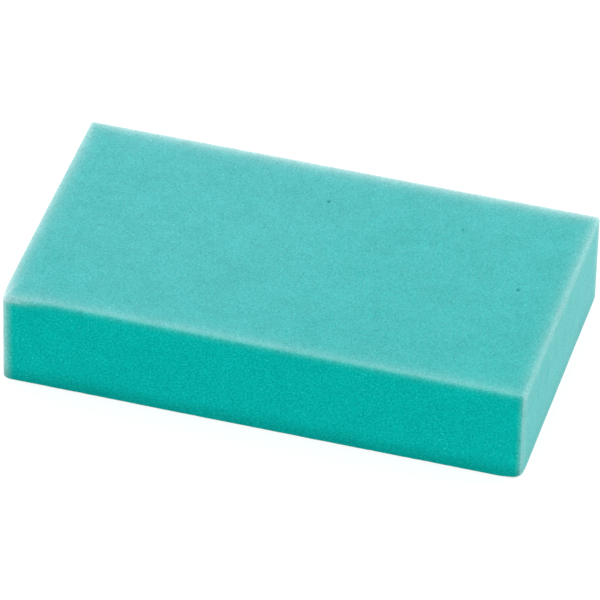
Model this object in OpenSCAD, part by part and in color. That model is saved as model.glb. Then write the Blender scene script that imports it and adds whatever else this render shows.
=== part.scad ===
// Hand sanding block of soft, fine-celled foam, cut from one slab. Sizes in millimetres.
//
// Origin: the middle of the underside. +X runs along the block, +Y towards its back and +Z up.
// The block is one piece. Seen from above it is laid out as a main bar as wide as the block,
// an end bar at each end, and a quarter-round post that fills each corner between them. All
// of them share one edge section, so the rim runs round the top and the underside unbroken.

/* [Block] */
// Length of the block, along X
block_length = 125; // [80:1:200]
// Width of the block, along Y
block_width = 71; // [45:1:110]
// Thickness of the block, along Z
block_thickness = 24; // [12:1:50]

/* [Edges] */
// Radius of the four upright corner edges
corner_radius = 1.5; // [1.1:0.1:6]
// Radius of the edges round the top and round the underside
rim_radius = 0.6; // [0.2:0.1:1]

/* [Hidden] */
$fn = 64;

// Distances of the corner posts' axes from the middle of the block
post_x = block_length / 2 - corner_radius;
post_y = block_width / 2 - corner_radius;

// The section that the rim follows: flat at x = 0, and rounded above and below at x = reach.
module edge_section(reach) {
    square([reach - rim_radius, block_thickness]);
    translate([0, rim_radius])
        square([reach, block_thickness - 2 * rim_radius]);
    for (level = [rim_radius, block_thickness - rim_radius])
        translate([reach - rim_radius, level])
            intersection() {
                circle(r = rim_radius);
                translate([0, -rim_radius])
                    square([rim_radius, 2 * rim_radius]);
            }
}

// A bar along Y, centred on y = 0, from x = 0 out to the rounded rim at x = reach.
module edge_bar(reach, length) {
    rotate([90, 0, 0])
        linear_extrude(height = length, center = true)
            edge_section(reach);
}

// The main bar: the full width of the block, up to the corner posts at both ends.
module main_bar() {
    for (turn = [90, -90])
        rotate([0, 0, turn])
            edge_bar(block_width / 2, 2 * post_x);
}

// The two end bars, between the corner posts.
module end_bars() {
    for (turn = [0, 180])
        rotate([0, 0, turn])
            translate([post_x, 0, 0])
                edge_bar(corner_radius, 2 * post_y);
}

// The four quarter-round posts, one in each corner.
module corner_posts() {
    for (corner = [[1, 1, 0], [-1, 1, 90], [-1, -1, 180], [1, -1, 270]])
        translate([corner.x * post_x, corner.y * post_y, 0])
            rotate([0, 0, corner.z])
                rotate_extrude(angle = 90)
                    edge_section(corner_radius);
}

// The whole block of foam.
module foam_block() {
    color("#12b3a5") {
        main_bar();
        end_bars();
        corner_posts();
    }
}

foam_block();
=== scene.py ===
# %% [markdown]
# # A foam sanding block
#
# The object is one cuboid of soft, fine-celled turquoise foam, cut from a slab. A painter wraps
# or lays abrasive on it and rubs walls and woodwork down by hand. It has no other piece, so all of
# its character is in three things: the slightly soft edges, the open cells of the cut faces, and
# the pale sheen on a saturated colour, which is partly the shader's sheen and partly painted sheen.
#
# The CAD model is loaded first, as a fixed frame. Its box gives the length, width and thickness
# that everything below is worked out from. All lengths in the script are in metres, so a small
# constant, `MM`, lets them be written in millimetres, the unit a maker would use.

# %% Load the frame
import math

import bpy
import numpy as np
from mathutils import Matrix, Vector


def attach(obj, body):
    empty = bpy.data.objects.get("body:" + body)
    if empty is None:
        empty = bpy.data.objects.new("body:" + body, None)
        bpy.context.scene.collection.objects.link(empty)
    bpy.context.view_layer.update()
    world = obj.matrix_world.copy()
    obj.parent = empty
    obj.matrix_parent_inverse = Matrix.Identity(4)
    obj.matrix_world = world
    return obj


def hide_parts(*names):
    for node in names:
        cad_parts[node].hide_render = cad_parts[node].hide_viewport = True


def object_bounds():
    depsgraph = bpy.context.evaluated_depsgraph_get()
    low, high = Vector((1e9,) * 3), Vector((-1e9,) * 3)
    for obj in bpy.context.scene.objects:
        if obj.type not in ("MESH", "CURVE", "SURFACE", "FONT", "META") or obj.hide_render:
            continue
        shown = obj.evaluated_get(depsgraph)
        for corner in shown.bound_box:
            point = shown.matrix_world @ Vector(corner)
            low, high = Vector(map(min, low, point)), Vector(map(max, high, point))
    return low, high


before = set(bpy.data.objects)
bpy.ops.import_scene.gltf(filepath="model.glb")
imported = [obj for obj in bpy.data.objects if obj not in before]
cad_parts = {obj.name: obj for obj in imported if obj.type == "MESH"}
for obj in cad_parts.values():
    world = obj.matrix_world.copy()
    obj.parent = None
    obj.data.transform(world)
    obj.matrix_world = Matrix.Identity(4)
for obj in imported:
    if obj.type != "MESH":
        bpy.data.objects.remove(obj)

MM = 0.001
cad_low, cad_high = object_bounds()
length, width, thickness = (float(side) for side in cad_high - cad_low)
middle = Vector((cad_low + cad_high) / 2)
print(f"block: {length / MM:.1f} x {width / MM:.1f} x {thickness / MM:.1f} mm")

# %% [markdown]
# ## Helpers for building node trees
#
# Blender's node trees can be drawn by hand or built in a script. A script can be read, changed and
# run again, so both the shape and the colour of this block are built that way. A few small helpers
# keep it short: `put` adds a node and fills its inputs, and the others wrap the nodes used most,
# so that a formula reads almost as it would on paper. They work in both kinds of tree.

# %% Node helpers
def put(tree, kind, inputs=(), **settings):
    """Adds a node with its settings. Inputs are {name or index: a value, or a socket to link}."""
    node = tree.nodes.new(kind)
    for name, value in settings.items():
        setattr(node, name, value)
    for key, value in dict(inputs).items():
        if isinstance(value, bpy.types.NodeSocket):
            tree.links.new(value, node.inputs[key])
        else:
            node.inputs[key].default_value = value
    return node


def calc(tree, operation, *values):
    """A Math node. Returns its output."""
    return put(tree, "ShaderNodeMath", enumerate(values), operation=operation).outputs[0]


def vector_calc(tree, operation, *values):
    """A Vector Math node. Returns its vector, or its number where it gives one."""
    names = (0, "Scale") if operation == "SCALE" else (0, 1)
    node = put(tree, "ShaderNodeVectorMath", zip(names, values), operation=operation)
    gives_number = operation in ("DOT_PRODUCT", "LENGTH", "DISTANCE")
    return node.outputs["Value" if gives_number else "Vector"]


def split(tree, vector):
    """The X, Y and Z of a vector or colour."""
    return put(tree, "ShaderNodeSeparateXYZ", {0: vector}).outputs


def join(tree, **parts):
    """A vector from its X, Y and Z. What isn't given is zero."""
    return put(tree, "ShaderNodeCombineXYZ", parts).outputs[0]


def ease(tree, value, low, high, to_low=0.0, to_high=1.0):
    """Eases from to_low to to_high while value goes from low to high, and holds outside them."""
    fills = {"Value": value, "From Min": low, "From Max": high, "To Min": to_low, "To Max": to_high}
    return put(tree, "ShaderNodeMapRange", fills, interpolation_type="SMOOTHSTEP").outputs["Result"]


def fade(tree, distance, reach, strength=1.0):
    """Is strength at no distance, and falls to about a third of itself with each reach."""
    reaches = calc(tree, "DIVIDE", calc(tree, "MAXIMUM", distance, 0.0), reach)
    left = calc(tree, "EXPONENT", calc(tree, "MULTIPLY", reaches, -1.0))
    return calc(tree, "MULTIPLY", left, strength)


def blend(tree, share, low, high):
    """The number that lies that share of the way from low to high."""
    return calc(tree, "MULTIPLY_ADD", share, high - low, low)


# %% [markdown]
# ## Randomness that stays put
#
# Foam is random, but the script has to give the same block each time it runs. Noise and Voronoi
# textures in four dimensions do both: three dimensions are the place in the foam, and the fourth
# is a seed. Different seeds give patterns that have nothing to do with each other.

# %% Noise and bubbles
FOAM_SEED = 3.0


def noise(tree, place, size, detail=1.0, seed=0.0):
    """Smooth noise with features of that size in metres, from about -0.5 to 0.5."""
    fills = {"Vector": place, "W": FOAM_SEED + seed, "Scale": calc(tree, "DIVIDE", 1.0, size)}
    node = put(tree, "ShaderNodeTexNoise", {**fills, "Detail": detail}, noise_dimensions="4D")
    return calc(tree, "SUBTRACT", node.outputs[0], 0.5)


def bubbles(tree, place, size, feature="F1", seed=0.0):
    """A packing of bubbles of that size in metres: how far a centre or wall is, and own colour."""
    fills = {"Vector": place, "W": FOAM_SEED + seed, "Scale": calc(tree, "DIVIDE", 1.0, size)}
    node = put(tree, "ShaderNodeTexVoronoi", fills, voronoi_dimensions="4D", feature=feature)
    return node.outputs


# %% [markdown]
# ## Camera
#
# A small object is best shown from far away through a long lens, because then its parallel edges
# stay nearly parallel. The camera stands a little to the right of the long front side, and looks
# down on it at about the angle of someone who is about to pick the block up.

# %% Camera
view_azimuth = math.radians(15)
view_elevation = math.radians(38.5)
view_roll = math.radians(1.5)
view_distance = 1575 * MM
view_aim = middle + Vector((-0.3, -0.53, -0.55)) * MM
lens_mm = 404.2

towards_camera = Vector((
    math.sin(view_azimuth) * math.cos(view_elevation),
    -math.cos(view_azimuth) * math.cos(view_elevation),
    math.sin(view_elevation),
))
camera_data = bpy.data.cameras.new("camera")
camera_data.lens = lens_mm
camera_data.clip_end = 100
camera = bpy.data.objects.new("camera", camera_data)
turn = (-towards_camera).to_track_quat("-Z", "Y").to_matrix() @ Matrix.Rotation(view_roll, 3, "Z")
camera.matrix_world = Matrix.Translation(view_aim + towards_camera * view_distance) @ turn.to_4x4()
scene = bpy.context.scene
scene.collection.objects.link(camera)
scene.camera = camera
print("camera at", [round(x, 3) for x in camera.location])

# %% [markdown]
# ## Floor and light
#
# A matt, even-coloured object is shown in a white tent on a light table: light comes from
# everywhere, and hardly any shadow falls. The world is the tent, and the floor glows a little by
# itself, as the table's top does. Two low softboxes behind the block add what a tent can't: they
# skim its edges and its right end, where the foam's fine fuzz catches the light and turns paler.
# The plain Standard view keeps the turquoise as saturated as it is, where the default softens it.

# %% Light table and tent
scene.view_settings.view_transform = "Standard"

floor_reach = 40.0
floor_tone = 0.35
floor_glow = 0.7
tent_glow = 1.3
white = (1, 1, 1, 1)

corner_signs = ((-1, -1), (1, -1), (1, 1), (-1, 1))
floor_corners = [(x * floor_reach, y * floor_reach, 0) for x, y in corner_signs]
floor_mesh = bpy.data.meshes.new("floor")
floor_mesh.from_pydata(floor_corners, [], [(0, 1, 2, 3)])
floor = bpy.data.objects.new("floor", floor_mesh)
scene.collection.objects.link(floor)
floor_paint = bpy.data.materials.new("light table top")
floor_paint.use_nodes = True
floor_shader = floor_paint.node_tree.nodes["Principled BSDF"]
floor_shader.inputs["Base Color"].default_value = (floor_tone, floor_tone, floor_tone, 1)
floor_shader.inputs["Emission Color"].default_value = white
floor_shader.inputs["Emission Strength"].default_value = floor_glow
floor_shader.inputs["Roughness"].default_value = 0.9
floor_shader.inputs["Specular IOR Level"].default_value = 0.0
floor_mesh.materials.append(floor_paint)

world = bpy.data.worlds.new("white tent")
world.use_nodes = True
world.node_tree.nodes["Background"].inputs["Color"].default_value = white
world.node_tree.nodes["Background"].inputs["Strength"].default_value = tent_glow
scene.world = world
print(f"table {2 * floor_reach:.0f} m square, glow {floor_glow}, in a tent with glow {tent_glow}")


# %% Softboxes
def softbox(name, place, size, watts):
    """A square area light of that size in metres, hung at place and facing the block."""
    lamp = bpy.data.lights.new(name, "AREA")
    lamp.shape = "SQUARE"
    lamp.size = size
    lamp.energy = watts
    hung = bpy.data.objects.new(name, lamp)
    hung.location = place
    hung.rotation_euler = (middle - Vector(place)).to_track_quat("-Z", "Y").to_euler()
    scene.collection.objects.link(hung)


softbox("left back softbox", place=(-0.8, 1.0, 0.2), size=0.6, watts=8)
softbox("right back softbox", place=(0.9, 0.9, 0.25), size=0.8, watts=6)
print("softboxes:", [lamp.name for lamp in bpy.data.lights])

# %% [markdown]
# ## The shape: a box of fine grids, rounded
#
# A cut face of foam is a section through thousands of bubbles. That could be faked with a bump, but
# then the outline would stay ruler straight. So each face is a fine grid, and Geometry Nodes move
# its points. The first move turns the sharp box into one with rounded edges. The trick is a smaller
# core box inside: every point is pushed to one rim radius from the nearest point of the core. The
# core's upright edges are rounded themselves, by what is left of the corner radius.

# %% Rounding a sharp box
def rounded_box(tree, sides, corner_radius, rim_radius, place):
    """Moves a point of the sharp box. Returns its place on the rounded box and its way outwards."""
    at = split(tree, place)
    post = {}
    for axis in "XY":
        reach = calc(tree, "SUBTRACT", calc(tree, "MULTIPLY", sides[axis], 0.5), corner_radius)
        low = calc(tree, "MULTIPLY", reach, -1.0)
        post[axis] = calc(tree, "MINIMUM", calc(tree, "MAXIMUM", at[axis], low), reach)
    post_place = join(tree, **post)
    away = vector_calc(tree, "SUBTRACT", join(tree, X=at["X"], Y=at["Y"]), post_place)
    core_radius = calc(tree, "SUBTRACT", corner_radius, rim_radius)
    held = calc(tree, "MINIMUM", vector_calc(tree, "LENGTH", away), core_radius)
    away = vector_calc(tree, "SCALE", vector_calc(tree, "NORMALIZE", away), held)
    top = calc(tree, "SUBTRACT", sides["Z"], rim_radius)
    level = calc(tree, "MINIMUM", calc(tree, "MAXIMUM", at["Z"], rim_radius), top)
    core = vector_calc(tree, "ADD", vector_calc(tree, "ADD", post_place, away), join(tree, Z=level))
    outward = vector_calc(tree, "NORMALIZE", vector_calc(tree, "SUBTRACT", place, core))
    return vector_calc(tree, "ADD", core, vector_calc(tree, "SCALE", outward, rim_radius)), outward


# %% [markdown]
# ## The cut: cells and pinholes
#
# Where the knife goes through a bubble it leaves a bowl, and a bubble that it only grazes leaves
# almost nothing. A three-dimensional Voronoi pattern is such a packing of bubbles, so reading it on
# the surface gives cells of every size, as the knife does. A few bubbles in any slab are many times
# larger than the rest and show as pinholes. Most are scattered by a second, coarse pattern, and the
# three most noticeable ones, on the top, are placed one by one.

# %% Cells and pinholes
# Pinholes on the top that catch the eye: x, y and radius in millimetres.
TOP_PINHOLES = ((51, 3, 0.5), (0, 22, 0.45), (33, 21, 0.3))


def open_cells(tree, place, size):
    """How deep the cut has opened the cell at that place: 0 at its wall, up to 1 in the middle."""
    wall_gap = bubbles(tree, place, size, "DISTANCE_TO_EDGE")["Distance"]
    own = split(tree, bubbles(tree, place, size)["Color"])
    bowl = ease(tree, wall_gap, 0.02, 0.3)
    return calc(tree, "MULTIPLY", bowl, ease(tree, own["X"], 0.25, 0.9, 0.1, 1.0))


def pinholes(tree, place, gap, radius, top):
    """How deep the pinhole is at that place: 0 outside, 1 in the middle."""
    near = bubbles(tree, place, gap)
    share = split(tree, near["Color"])["X"]
    own_radius = calc(tree, "MULTIPLY", radius, ease(tree, share, 0.2, 1.0, 0.3, 1.0))
    away = calc(tree, "DIVIDE", calc(tree, "MULTIPLY", near["Distance"], gap), own_radius)
    for x, y, hole_radius in TOP_PINHOLES:
        centre = join(tree, X=x * MM, Y=y * MM, Z=top)
        distance = vector_calc(tree, "DISTANCE", place, centre)
        away = calc(tree, "MINIMUM", away, calc(tree, "DIVIDE", distance, hole_radius * MM))
    return ease(tree, away, 0.4, 1.2, 1.0, 0.0)


# %% [markdown]
# ## The whole tree
#
# The tree strings these together. It also lets the cut wander: a soft slab gives under the knife,
# so the faces bow by a fraction of a millimetre over the length and ripple a little over a few
# millimetres. A hand block also wears. The back corners are still crisp, the two at the front are
# rubbed rounder, and two of their ends have been knocked rounder still, which is done by letting
# the rim radius grow near them. Two things are stored on the mesh for later: which way each face
# was cut, and how deep each point lies in a pinhole.

# %% The foam block's node tree
# Corners that were knocked rounder: side in X, side in Y, level, and extra rim radius in mm.
KNOCKED_CORNERS = ((-1, -1, 1, 1.4), (1, -1, 0, 1.0))
FOAM_INPUTS = {
    "Size": ("NodeSocketVector", (0.1, 0.1, 0.1)),
    "Spacing": ("NodeSocketFloat", 0.3 * MM),
    "Corner radius": ("NodeSocketFloat", 0.6 * MM),
    "Worn corner radius": ("NodeSocketFloat", 2.1 * MM),
    "Rim radius": ("NodeSocketFloat", 0.5 * MM),
    "Knock reach": ("NodeSocketFloat", 6 * MM),
    "Bow": ("NodeSocketFloat", 0.3 * MM),
    "Bow size": ("NodeSocketFloat", 60 * MM),
    "Ripple": ("NodeSocketFloat", 0.12 * MM),
    "Ripple size": ("NodeSocketFloat", 5 * MM),
    "Cell size": ("NodeSocketFloat", 0.9 * MM),
    "Cell depth": ("NodeSocketFloat", 0.04 * MM),
    "Pinhole gap": ("NodeSocketFloat", 8 * MM),
    "Pinhole radius": ("NodeSocketFloat", 0.3 * MM),
    "Pinhole depth": ("NodeSocketFloat", 0.3 * MM),
    "Foam": ("NodeSocketMaterial", None),
}


def foam_tree():
    """Geometry Nodes: a box of fine grids, rounded, cut slightly uneven and pitted by its cells."""
    tree = bpy.data.node_groups.new("cut foam block", "GeometryNodeTree")
    for name, (kind, value) in FOAM_INPUTS.items():
        socket = tree.interface.new_socket(name, in_out="INPUT", socket_type=kind)
        if value is not None:
            socket.default_value = value
    tree.interface.new_socket("Mesh", in_out="OUTPUT", socket_type="NodeSocketGeometry")
    given = put(tree, "NodeGroupInput").outputs
    sides = split(tree, given["Size"])

    # The sharp box stands on z = 0. Each side has as many points as the spacing asks for.
    counts = {}
    for axis in "XYZ":
        gaps = calc(tree, "DIVIDE", sides[axis], given["Spacing"])
        counts[f"Vertices {axis}"] = calc(tree, "ADD", gaps, 1.0)
    cube = put(tree, "GeometryNodeMeshCube", {"Size": given["Size"], **counts})
    lift = join(tree, Z=calc(tree, "MULTIPLY", sides["Z"], 0.5))
    fills = {"Geometry": cube.outputs["Mesh"], "Offset": lift}
    lifted = put(tree, "GeometryNodeSetPosition", fills).outputs[0]
    facing = put(tree, "GeometryNodeInputNormal").outputs[0]
    with_facing = put(
        tree, "GeometryNodeStoreNamedAttribute",
        {"Geometry": lifted, "Name": "cut_direction", "Value": facing},
        data_type="FLOAT_VECTOR", domain="FACE",
    ).outputs[0]

    # Round it. The front corners have a radius of their own, and the knocked ones a larger rim.
    place = put(tree, "GeometryNodeInputPosition").outputs[0]
    front = calc(tree, "LESS_THAN", split(tree, place)["Y"], 0.0)
    radii = {0: front, 2: given["Corner radius"], 3: given["Worn corner radius"]}
    corner_radius = put(tree, "ShaderNodeMix", radii).outputs[0]
    rim_radius = given["Rim radius"]
    for side_x, side_y, level, extra in KNOCKED_CORNERS:
        corner = vector_calc(tree, "MULTIPLY", given["Size"], (side_x / 2, side_y / 2, level))
        away = vector_calc(tree, "DISTANCE", place, corner)
        knock = ease(tree, away, 0.0, given["Knock reach"], extra * MM, 0.0)
        rim_radius = calc(tree, "ADD", rim_radius, knock)
    surface, outward = rounded_box(tree, sides, corner_radius, rim_radius, place)

    # Cut it: the bow and the ripple go both ways, and the cells and pinholes only go in.
    bow = calc(tree, "MULTIPLY", noise(tree, surface, given["Bow size"]), given["Bow"])
    ripple = calc(tree, "MULTIPLY", noise(tree, surface, given["Ripple size"]), given["Ripple"])
    cell = open_cells(tree, surface, given["Cell size"])
    hole = pinholes(tree, surface, given["Pinhole gap"], given["Pinhole radius"], sides["Z"])
    cell_depth = calc(tree, "MULTIPLY", cell, given["Cell depth"])
    depth = calc(tree, "ADD", cell_depth, calc(tree, "MULTIPLY", hole, given["Pinhole depth"]))
    move = calc(tree, "SUBTRACT", calc(tree, "ADD", bow, ripple), depth)
    cut_place = vector_calc(tree, "ADD", surface, vector_calc(tree, "SCALE", outward, move))
    with_holes = put(
        tree, "GeometryNodeStoreNamedAttribute",
        {"Geometry": with_facing, "Name": "pinhole", "Value": hole},
        data_type="FLOAT", domain="POINT",
    ).outputs[0]
    fills = {"Geometry": with_holes, "Position": cut_place}
    cut = put(tree, "GeometryNodeSetPosition", fills).outputs[0]

    # Finish it.
    smooth = put(tree, "GeometryNodeSetShadeSmooth", {0: cut}).outputs[0]
    real = put(tree, "GeometryNodeRealizeInstances", {0: smooth}).outputs[0]
    painted = put(tree, "GeometryNodeSetMaterial", {0: real, "Material": given["Foam"]})
    put(tree, "NodeGroupOutput", {0: painted.outputs[0]})
    return tree


block_tree = foam_tree()
print(f"block tree: {len(block_tree.nodes)} nodes, {len(FOAM_INPUTS)} inputs")

# %% [markdown]
# ## The colour: where on the block a point lies
#
# The foam's colour isn't evenly turquoise. The wide faces and the ends are paler, with a faint
# whitening that is painted sheen: the sheen that light at a glancing angle gives the foam's fuzz,
# put into the colour. The long sides stay deep in colour. Along the edges the colour is paler for a
# millimetre or two, like a haze, which is painted light: it stands for light that comes into the
# foam there from two sides. All of this depends only on where a point lies on the block, which
# Object coordinates give, so no part of it has to be drawn by hand.
#
# An exponential is the natural law for such a haze: each step into the foam takes away the same
# share of it. It changes here and there. The painted sheen is left mostly off the front rim, where
# a rim seen head on shows little sheen, and at the knocked front left corner the pale top is
# carried down over the rounder corner.

# %% Strengths and reaches of the haze
# How far the painted sheen of a wide face carries on over its rim: down a side, down an end, and
# up from the sole.
SIDE_RIM_FADE = 0.42 * MM
END_RIM_FADE = 0.8 * MM
SOLE_FADE = 0.1 * MM

# The front rim, where the painted sheen is mostly left off: how far back that goes, and the share
# of the painted sheen it keeps.
FRONT_RIM_REACH = 2.2 * MM
FRONT_RIM_SHARE = 0.1

# The width over which a side or the top turns into an end.
END_BLEND = 0.3 * MM

# The painted light of the haze on the wide faces: its strength and reach at each edge. It is
# stronger at the back and left edges, which are lit from behind and seen at a glancing angle.
LEFT_HAZE, RIGHT_HAZE = 0.42, 0.24
END_REACH = 1.15 * MM
FRONT_HAZE, BACK_HAZE = 0.27, 0.54
FRONT_REACH, BACK_REACH = 1.6 * MM, 1.35 * MM

# How far the painted paleness of the top is carried down over the knocked front left corner, and
# how far from it.
KNOCK_DROP = 1.1 * MM
DROP_REACH = 14 * MM

# The painted light of the haze at the upright corners: its amount, its reach, and how steeply it
# falls. It is widest at the front left corner, which was knocked rounder and is seen at a glancing
# angle. Round an end it reaches further than along a side, so a distance there counts for less.
KNOCKED_HAZE, CORNER_HAZE = 0.43, 0.26
KNOCKED_REACH, CORNER_REACH = 3.3 * MM, 2.1 * MM
KNOCKED_FALL, CORNER_FALL = 2.1, 3.3
ROUND_THE_END = 0.35

# The haze is uneven by that share, in patches of that size.
HAZE_UNEVENNESS = 0.35
HAZE_PATCH = 3 * MM


# %% Shares of each kind of face
def face_shares(tree, place, at):
    """How near a point is to an end and to a side, and its shares of each kind of face."""
    to_end = calc(tree, "SUBTRACT", length / 2, calc(tree, "ABSOLUTE", at["X"]))
    to_side = calc(tree, "SUBTRACT", width / 2, calc(tree, "ABSOLUTE", at["Y"]))
    to_top = calc(tree, "SUBTRACT", thickness, at["Z"])
    from_knock = vector_calc(tree, "DISTANCE", place, (-length / 2, -width / 2, thickness))
    drop = ease(tree, from_knock, 0.0, DROP_REACH, KNOCK_DROP, 0.0)
    to_others = calc(tree, "MINIMUM", to_side, calc(tree, "MINIMUM", to_top, at["Z"]))
    end = ease(tree, calc(tree, "SUBTRACT", to_others, to_end), 0.0, END_BLEND)
    below_rim = calc(tree, "SUBTRACT", to_top, drop)
    top = fade(tree, below_rim, blend(tree, end, SIDE_RIM_FADE, END_RIM_FADE))
    wide = calc(tree, "MAXIMUM", top, fade(tree, at["Z"], SOLE_FADE))

    # The painted sheen is mostly left off the front rim, where a rim seen head on shows little
    # sheen.
    from_front = calc(tree, "ADD", calc(tree, "ADD", at["Y"], width / 2), drop)
    front_rim_sheen = ease(tree, from_front, 0.0, FRONT_RIM_REACH, FRONT_RIM_SHARE, 1.0)
    wide = calc(tree, "MULTIPLY", wide, calc(tree, "MAXIMUM", front_rim_sheen, end))
    # Painted sheen: the share of a point that lies on the wide faces and ends, which are painted
    # paler.
    painted_sheen_faces = calc(tree, "MAXIMUM", wide, end)
    return {"to_end": to_end, "to_side": to_side, "wide": wide, "end": end, "painted_sheen_faces": painted_sheen_faces}


# %% The haze along the edges
def painted_edge_light(tree, place, at, share):
    """Painted light: how much paler an edge is painted, as an amount of white from 0 to 1."""
    rightwards = calc(tree, "MULTIPLY_ADD", at["X"], 1 / length, 0.5)
    backwards = calc(tree, "MULTIPLY_ADD", at["Y"], 1 / width, 0.5)
    end_amount = blend(tree, rightwards, LEFT_HAZE, RIGHT_HAZE)
    end_haze = fade(tree, share["to_end"], END_REACH, end_amount)
    side_reach = blend(tree, backwards, FRONT_REACH, BACK_REACH)
    side_amount = blend(tree, backwards, FRONT_HAZE, BACK_HAZE)
    side_haze = fade(tree, share["to_side"], side_reach, side_amount)
    top_haze = calc(tree, "MULTIPLY", calc(tree, "MAXIMUM", end_haze, side_haze), share["wide"])

    # The upright corners, with their painted light. How far a corner lies from the knocked front
    # left one goes from 0 there to 1 at the rest.
    along_end = calc(tree, "MULTIPLY", share["to_side"], ROUND_THE_END)
    from_corner = calc(tree, "MAXIMUM", share["to_end"], along_end)
    off_front_left = calc(tree, "MAXIMUM", rightwards, backwards)
    gone = calc(tree, "DIVIDE", from_corner, blend(tree, off_front_left, KNOCKED_REACH, CORNER_REACH))
    left = calc(tree, "MAXIMUM", calc(tree, "SUBTRACT", 1.0, gone), 0.0)
    amount = blend(tree, off_front_left, KNOCKED_HAZE, CORNER_HAZE)
    fall = blend(tree, off_front_left, KNOCKED_FALL, CORNER_FALL)
    corner_haze = calc(tree, "MULTIPLY", calc(tree, "POWER", left, fall), amount)
    both = calc(tree, "MULTIPLY", top_haze, corner_haze)
    haze = calc(tree, "SUBTRACT", calc(tree, "ADD", top_haze, corner_haze), both)
    patches = noise(tree, place, HAZE_PATCH, detail=2.0, seed=2.0)
    return calc(tree, "MULTIPLY", haze, calc(tree, "MULTIPLY_ADD", patches, HAZE_UNEVENNESS, 1.0))


# %% [markdown]
# ## The speckle of the foam
#
# On top of that comes the speckle that makes a surface read as foam. Seen from arm's length, the
# cells are too small to tell apart: some are pores, darkened with painted shade, some have a wall
# that catches the light, painted as a bright glint, and the rest is a fine grain. Each is a pattern
# of its own size, and slower ones over them make clumps and clouds, because no slab foams evenly.

# %% Foam patterns
PORE_SIZE = 0.45 * MM
GRAIN_SIZE = 0.5 * MM
MOTTLE_SIZE = 0.6 * MM
CLUMP_SIZE = 1.8 * MM
CLOUD_SIZE = 9 * MM
GLINT_PATCH = 12 * MM


def foam_patterns(tree, place):
    """Patterns of the foam: pores, painted glints and pinholes from 0 up, the rest about 0."""
    fine = bubbles(tree, place, PORE_SIZE)
    own = split(tree, fine["Color"])
    dot = ease(tree, fine["Distance"], 0.15, 0.55, 1.0, 0.0)
    patch = noise(tree, place, GLINT_PATCH, detail=2.0, seed=17.0)
    bright = calc(tree, "MULTIPLY", dot, ease(tree, own["Y"], 0.6, 1.0))
    return {
        "pore": calc(tree, "MULTIPLY", dot, ease(tree, own["X"], 0.5, 1.0)),
        # A painted glint, where a cell wall catches the light.
        "glint": calc(tree, "MULTIPLY", bright, ease(tree, patch, -0.12, 0.15, 0.4, 1.7)),
        "grain": noise(tree, place, GRAIN_SIZE, detail=2.0),
        "mottle": noise(tree, place, MOTTLE_SIZE, detail=2.0, seed=9.0),
        "clump": noise(tree, place, CLUMP_SIZE, detail=1.0, seed=13.0),
        "cloud": noise(tree, place, CLOUD_SIZE, detail=2.0, seed=5.0),
        "hole": put(tree, "ShaderNodeAttribute", attribute_name="pinhole").outputs["Fac"],
    }


# %% [markdown]
# ## From patterns to a colour
#
# The colour is mixed in two steps. The deep turquoise is mixed with a paler colour on the wide
# faces and the ends, which is painted sheen, and then with white where the haze is, which is
# painted light along the edges. The tone, a plain factor for how bright the result is, carries the
# speckle, with painted shade in the pores and pinholes and painted glints on some cell walls. The
# long sides also darken towards the sole, which is painted shade where they meet the floor.

# %% Foam colour
DEEP = (0.0, 0.352, 0.312, 1)
# Painted sheen: the pale colour that the wide faces and ends are mixed towards.
SHEEN_PAINT_COLOUR = (0.5, 0.58, 0.80, 1)
# Painted light: the white of the edge haze, which the painted glints and the pale grain add to.
HAZE = (0.95, 0.95, 0.95, 1)

# The painted sheen on the wide faces and ends, and what the way towards the back left light, the
# mottle and a pore add.
PAINTED_SHEEN_AMOUNT = 0.137
BACK_LEFT_SHEEN = 0.05
MOTTLE_SHEEN, PORE_SHEEN = 0.2, -0.06
BACK_LEFT = (-0.9 / length, 0.6 / width, 0.0)

# What a painted glint and the pale grain add to the painted light of the haze.
GLINT_WHITE, GRAIN_HAZE = 0.01, 0.03


def mix_colours(tree, amount, low, high):
    """Mixes two colours by an amount, which is held between 0 and 1."""
    return put(tree, "ShaderNodeMix", {0: amount, 6: low, 7: high}, data_type="RGBA").outputs[2]


def foam_colour(tree, place, at, share, pattern):
    """Turquoise, with painted sheen on wide faces and ends, and painted light as an edge haze."""
    backwards = vector_calc(tree, "DOT_PRODUCT", place, BACK_LEFT)
    painted_sheen = calc(tree, "MULTIPLY_ADD", backwards, BACK_LEFT_SHEEN, PAINTED_SHEEN_AMOUNT)
    painted_sheen = calc(tree, "MULTIPLY_ADD", pattern["mottle"], MOTTLE_SHEEN, painted_sheen)
    painted_sheen = calc(tree, "MULTIPLY_ADD", pattern["pore"], PORE_SHEEN, painted_sheen)
    # Painted sheen: the wide faces and ends are mixed towards a paler colour.
    colour = mix_colours(tree, calc(tree, "MULTIPLY", share["painted_sheen_faces"], painted_sheen), DEEP, SHEEN_PAINT_COLOUR)
    # Painted light: white haze along the edges, then painted glints on cell walls, then pale grain.
    haze = painted_edge_light(tree, place, at, share)
    haze = calc(tree, "MULTIPLY_ADD", pattern["glint"], GLINT_WHITE, haze)
    pale_grain = calc(tree, "MAXIMUM", pattern["grain"], 0.0)
    haze = calc(tree, "MULTIPLY_ADD", pale_grain, GRAIN_HAZE, haze)
    return mix_colours(tree, haze, colour, HAZE)


# %% Foam tone
# The grain's strength on a long side and on a face with painted sheen, and how the rest changes
# the tone. The pore and pinhole tones are painted shade, and the glint tone a painted glint.
SIDE_GRAIN, SHEEN_FACE_GRAIN = 1.0, 0.66
TONES = {"clump": 0.2, "cloud": 0.14, "pore": -0.2, "glint": 0.25, "hole": -0.3}

# Painted shade where the sides meet the floor: the tone at the very bottom of a side, how far up
# it goes, and the least tone of an end.
LOWER_SHADE = 0.72
LOWER_REACH = 5.5 * MM
END_SHADE = 0.95


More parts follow.
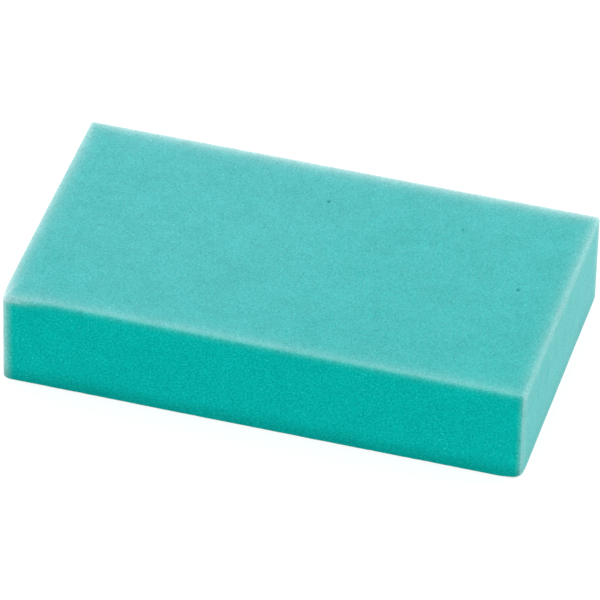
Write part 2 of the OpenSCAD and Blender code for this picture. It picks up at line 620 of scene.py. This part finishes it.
def foam_tone(tree, at, share, pattern):
    """How bright the colour is: about 1, with the speckle, and painted shade near the sole."""
    grain_strength = blend(tree, share["painted_sheen_faces"], SIDE_GRAIN, SHEEN_FACE_GRAIN)
    tone = calc(tree, "MULTIPLY_ADD", pattern["grain"], grain_strength, 1.0)
    for name, strength in TONES.items():
        tone = calc(tree, "MULTIPLY_ADD", pattern[name], strength, tone)
    # Painted shade: darker towards the sole, where the floor meets the sides, and less so on the
    # ends.
    lower = ease(tree, at["Z"], 0.0, LOWER_REACH, LOWER_SHADE, 1.0)
    lower = calc(tree, "MAXIMUM", lower, calc(tree, "MULTIPLY", share["end"], END_SHADE))
    return calc(tree, "MULTIPLY", tone, lower)


# %% [markdown]
# ## The foam material
#
# The surface has no gloss at all, only the sheen of its fuzz, which whitens what is seen at a
# glancing angle. Sheen is one number for the whole surface, so it is set on the shader itself. A
# bump adds the relief that is too fine for the mesh, and it is weaker on the ends.

# %% Foam material
RELIEF_DEPTH = 0.06 * MM
RELIEF_STRENGTH = 0.5
END_RELIEF = 0.4
ROUGHNESS, GRAIN_ROUGHNESS = 0.9, 0.2
SHADER_SETTINGS = {
    "Specular IOR Level": 0.0,
    "Sheen Weight": 0.36,
    "Sheen Roughness": 0.27,
    "Sheen Tint": white,
}


def foam_material():
    """Turquoise foam: deep, painted sheen on some faces, painted light at the edges, and speckled.
    """
    material = bpy.data.materials.new("turquoise foam")
    material.use_nodes = True
    tree = material.node_tree
    shader = tree.nodes["Principled BSDF"]
    place = put(tree, "ShaderNodeTexCoord").outputs["Object"]
    at = split(tree, place)
    share = face_shares(tree, place, at)
    pattern = foam_patterns(tree, place)

    colour = foam_colour(tree, place, at, share, pattern)
    tone = foam_tone(tree, at, share, pattern)
    tree.links.new(vector_calc(tree, "SCALE", colour, tone), shader.inputs["Base Color"])

    rise = calc(tree, "SUBTRACT", pattern["grain"], pattern["pore"])
    height = calc(tree, "MULTIPLY", rise, blend(tree, share["end"], 1.0, END_RELIEF))
    fills = {"Height": height, "Strength": RELIEF_STRENGTH, "Distance": RELIEF_DEPTH}
    tree.links.new(put(tree, "ShaderNodeBump", fills).outputs[0], shader.inputs["Normal"])
    roughness = calc(tree, "MULTIPLY_ADD", pattern["grain"], GRAIN_ROUGHNESS, ROUGHNESS)
    tree.links.new(roughness, shader.inputs["Roughness"])

    for name, value in SHADER_SETTINGS.items():
        shader.inputs[name].default_value = value
    return material


foam = foam_material()
print(f"material {foam.name!r}: {len(foam.node_tree.nodes)} nodes")

# %% [markdown]
# ## Growing the block
#
# The tree is run once, as a modifier on an empty object. Its result is then kept as a plain mesh
# and the modifier is taken off, so that what is handed on no longer depends on the tree.

# %% Grow the block
def run_tree(name, tree, values):
    """Runs a Geometry Nodes tree on an empty object and returns its result as a plain mesh."""
    carrier = bpy.data.objects.new(name, bpy.data.meshes.new(name))
    scene.collection.objects.link(carrier)
    modifier = carrier.modifiers.new(name, "NODES")
    modifier.node_group = tree
    inputs = [item for item in tree.interface.items_tree if item.in_out == "INPUT"]
    sockets = {item.name: item.identifier for item in inputs}
    for key, value in values.items():
        modifier[sockets[key]] = value
    evaluated = carrier.evaluated_get(bpy.context.evaluated_depsgraph_get())
    mesh = bpy.data.meshes.new_from_object(evaluated)
    carrier.modifiers.remove(modifier)
    carrier.data = mesh
    mesh.name = name
    return carrier


block = run_tree("foam_block_visual", block_tree, {
    "Size": (length, width, thickness),
    "Spacing": 0.3 * MM,
    "Foam": foam,
})
print(f"block mesh: {len(block.data.vertices)} points, {len(block.data.polygons)} faces")

# %% [markdown]
# ## Laying the faces out flat
#
# When the finished model leaves Blender, its colour is painted into an image through a UV map. An
# automatic map would cut the surface into many scraps. A cuboid unfolds by itself: the two wide
# faces lie side by side, the long sides above them and the ends beside them, all at one scale. The
# direction stored on each face says which of the six it belongs to.

# %% A UV map of six sheets
def unfold(piece, gap):
    """Gives a piece the UV map that the export paints through, from each face's cut direction."""
    mesh = piece.data
    place = np.empty(len(mesh.vertices) * 3)
    mesh.vertices.foreach_get("co", place)
    place = place.reshape(-1, 3) - np.array([-length / 2, -width / 2, 0.0])
    corner_vertex = np.empty(len(mesh.loops), dtype=int)
    mesh.loops.foreach_get("vertex_index", corner_vertex)
    at = place[corner_vertex]
    facing = np.empty(len(mesh.polygons) * 3)
    mesh.attributes["cut_direction"].data.foreach_get("vector", facing)
    corners_each = np.empty(len(mesh.polygons), dtype=int)
    mesh.polygons.foreach_get("loop_total", corners_each)
    facing = np.repeat(facing.reshape(-1, 3), corners_each, axis=0)

    # Each sheet: its direction, the axes that run across and up it, and its lowest corner.
    x, y, z = range(3)
    sheets = (
        ((0, 0, 1), y, x, 0, 0),
        ((0, 0, -1), y, x, width + gap, 0),
        ((0, -1, 0), x, z, 0, length + gap),
        ((0, 1, 0), x, z, 0, length + thickness + 2 * gap),
        ((1, 0, 0), z, y, 2 * (width + gap), 0),
        ((-1, 0, 0), z, y, 2 * (width + gap), width + gap),
    )
    uv = np.zeros((len(at), 2))
    for direction, across, up, left, low in sheets:
        mine = facing @ np.array(direction) > 0.5
        uv[mine] = np.stack([at[mine, across] + left, at[mine, up] + low], axis=1)
    page = max(2 * (width + gap) + thickness, length + 2 * (thickness + gap)) + 2 * gap
    layer = mesh.uv_layers.new(name="OFBake")
    layer.data.foreach_set("uv", ((uv + gap) / page).ravel())
    lowest, highest = uv.min() / MM, uv.max() / MM
    print(f"UV page: {page / MM:.0f} mm square, used from {lowest:.1f} to {highest:.1f} mm")


unfold(block, gap=1.5 * MM)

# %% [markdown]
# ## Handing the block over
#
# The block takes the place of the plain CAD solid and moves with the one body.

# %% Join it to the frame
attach(block, "root")
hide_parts("foam_block")
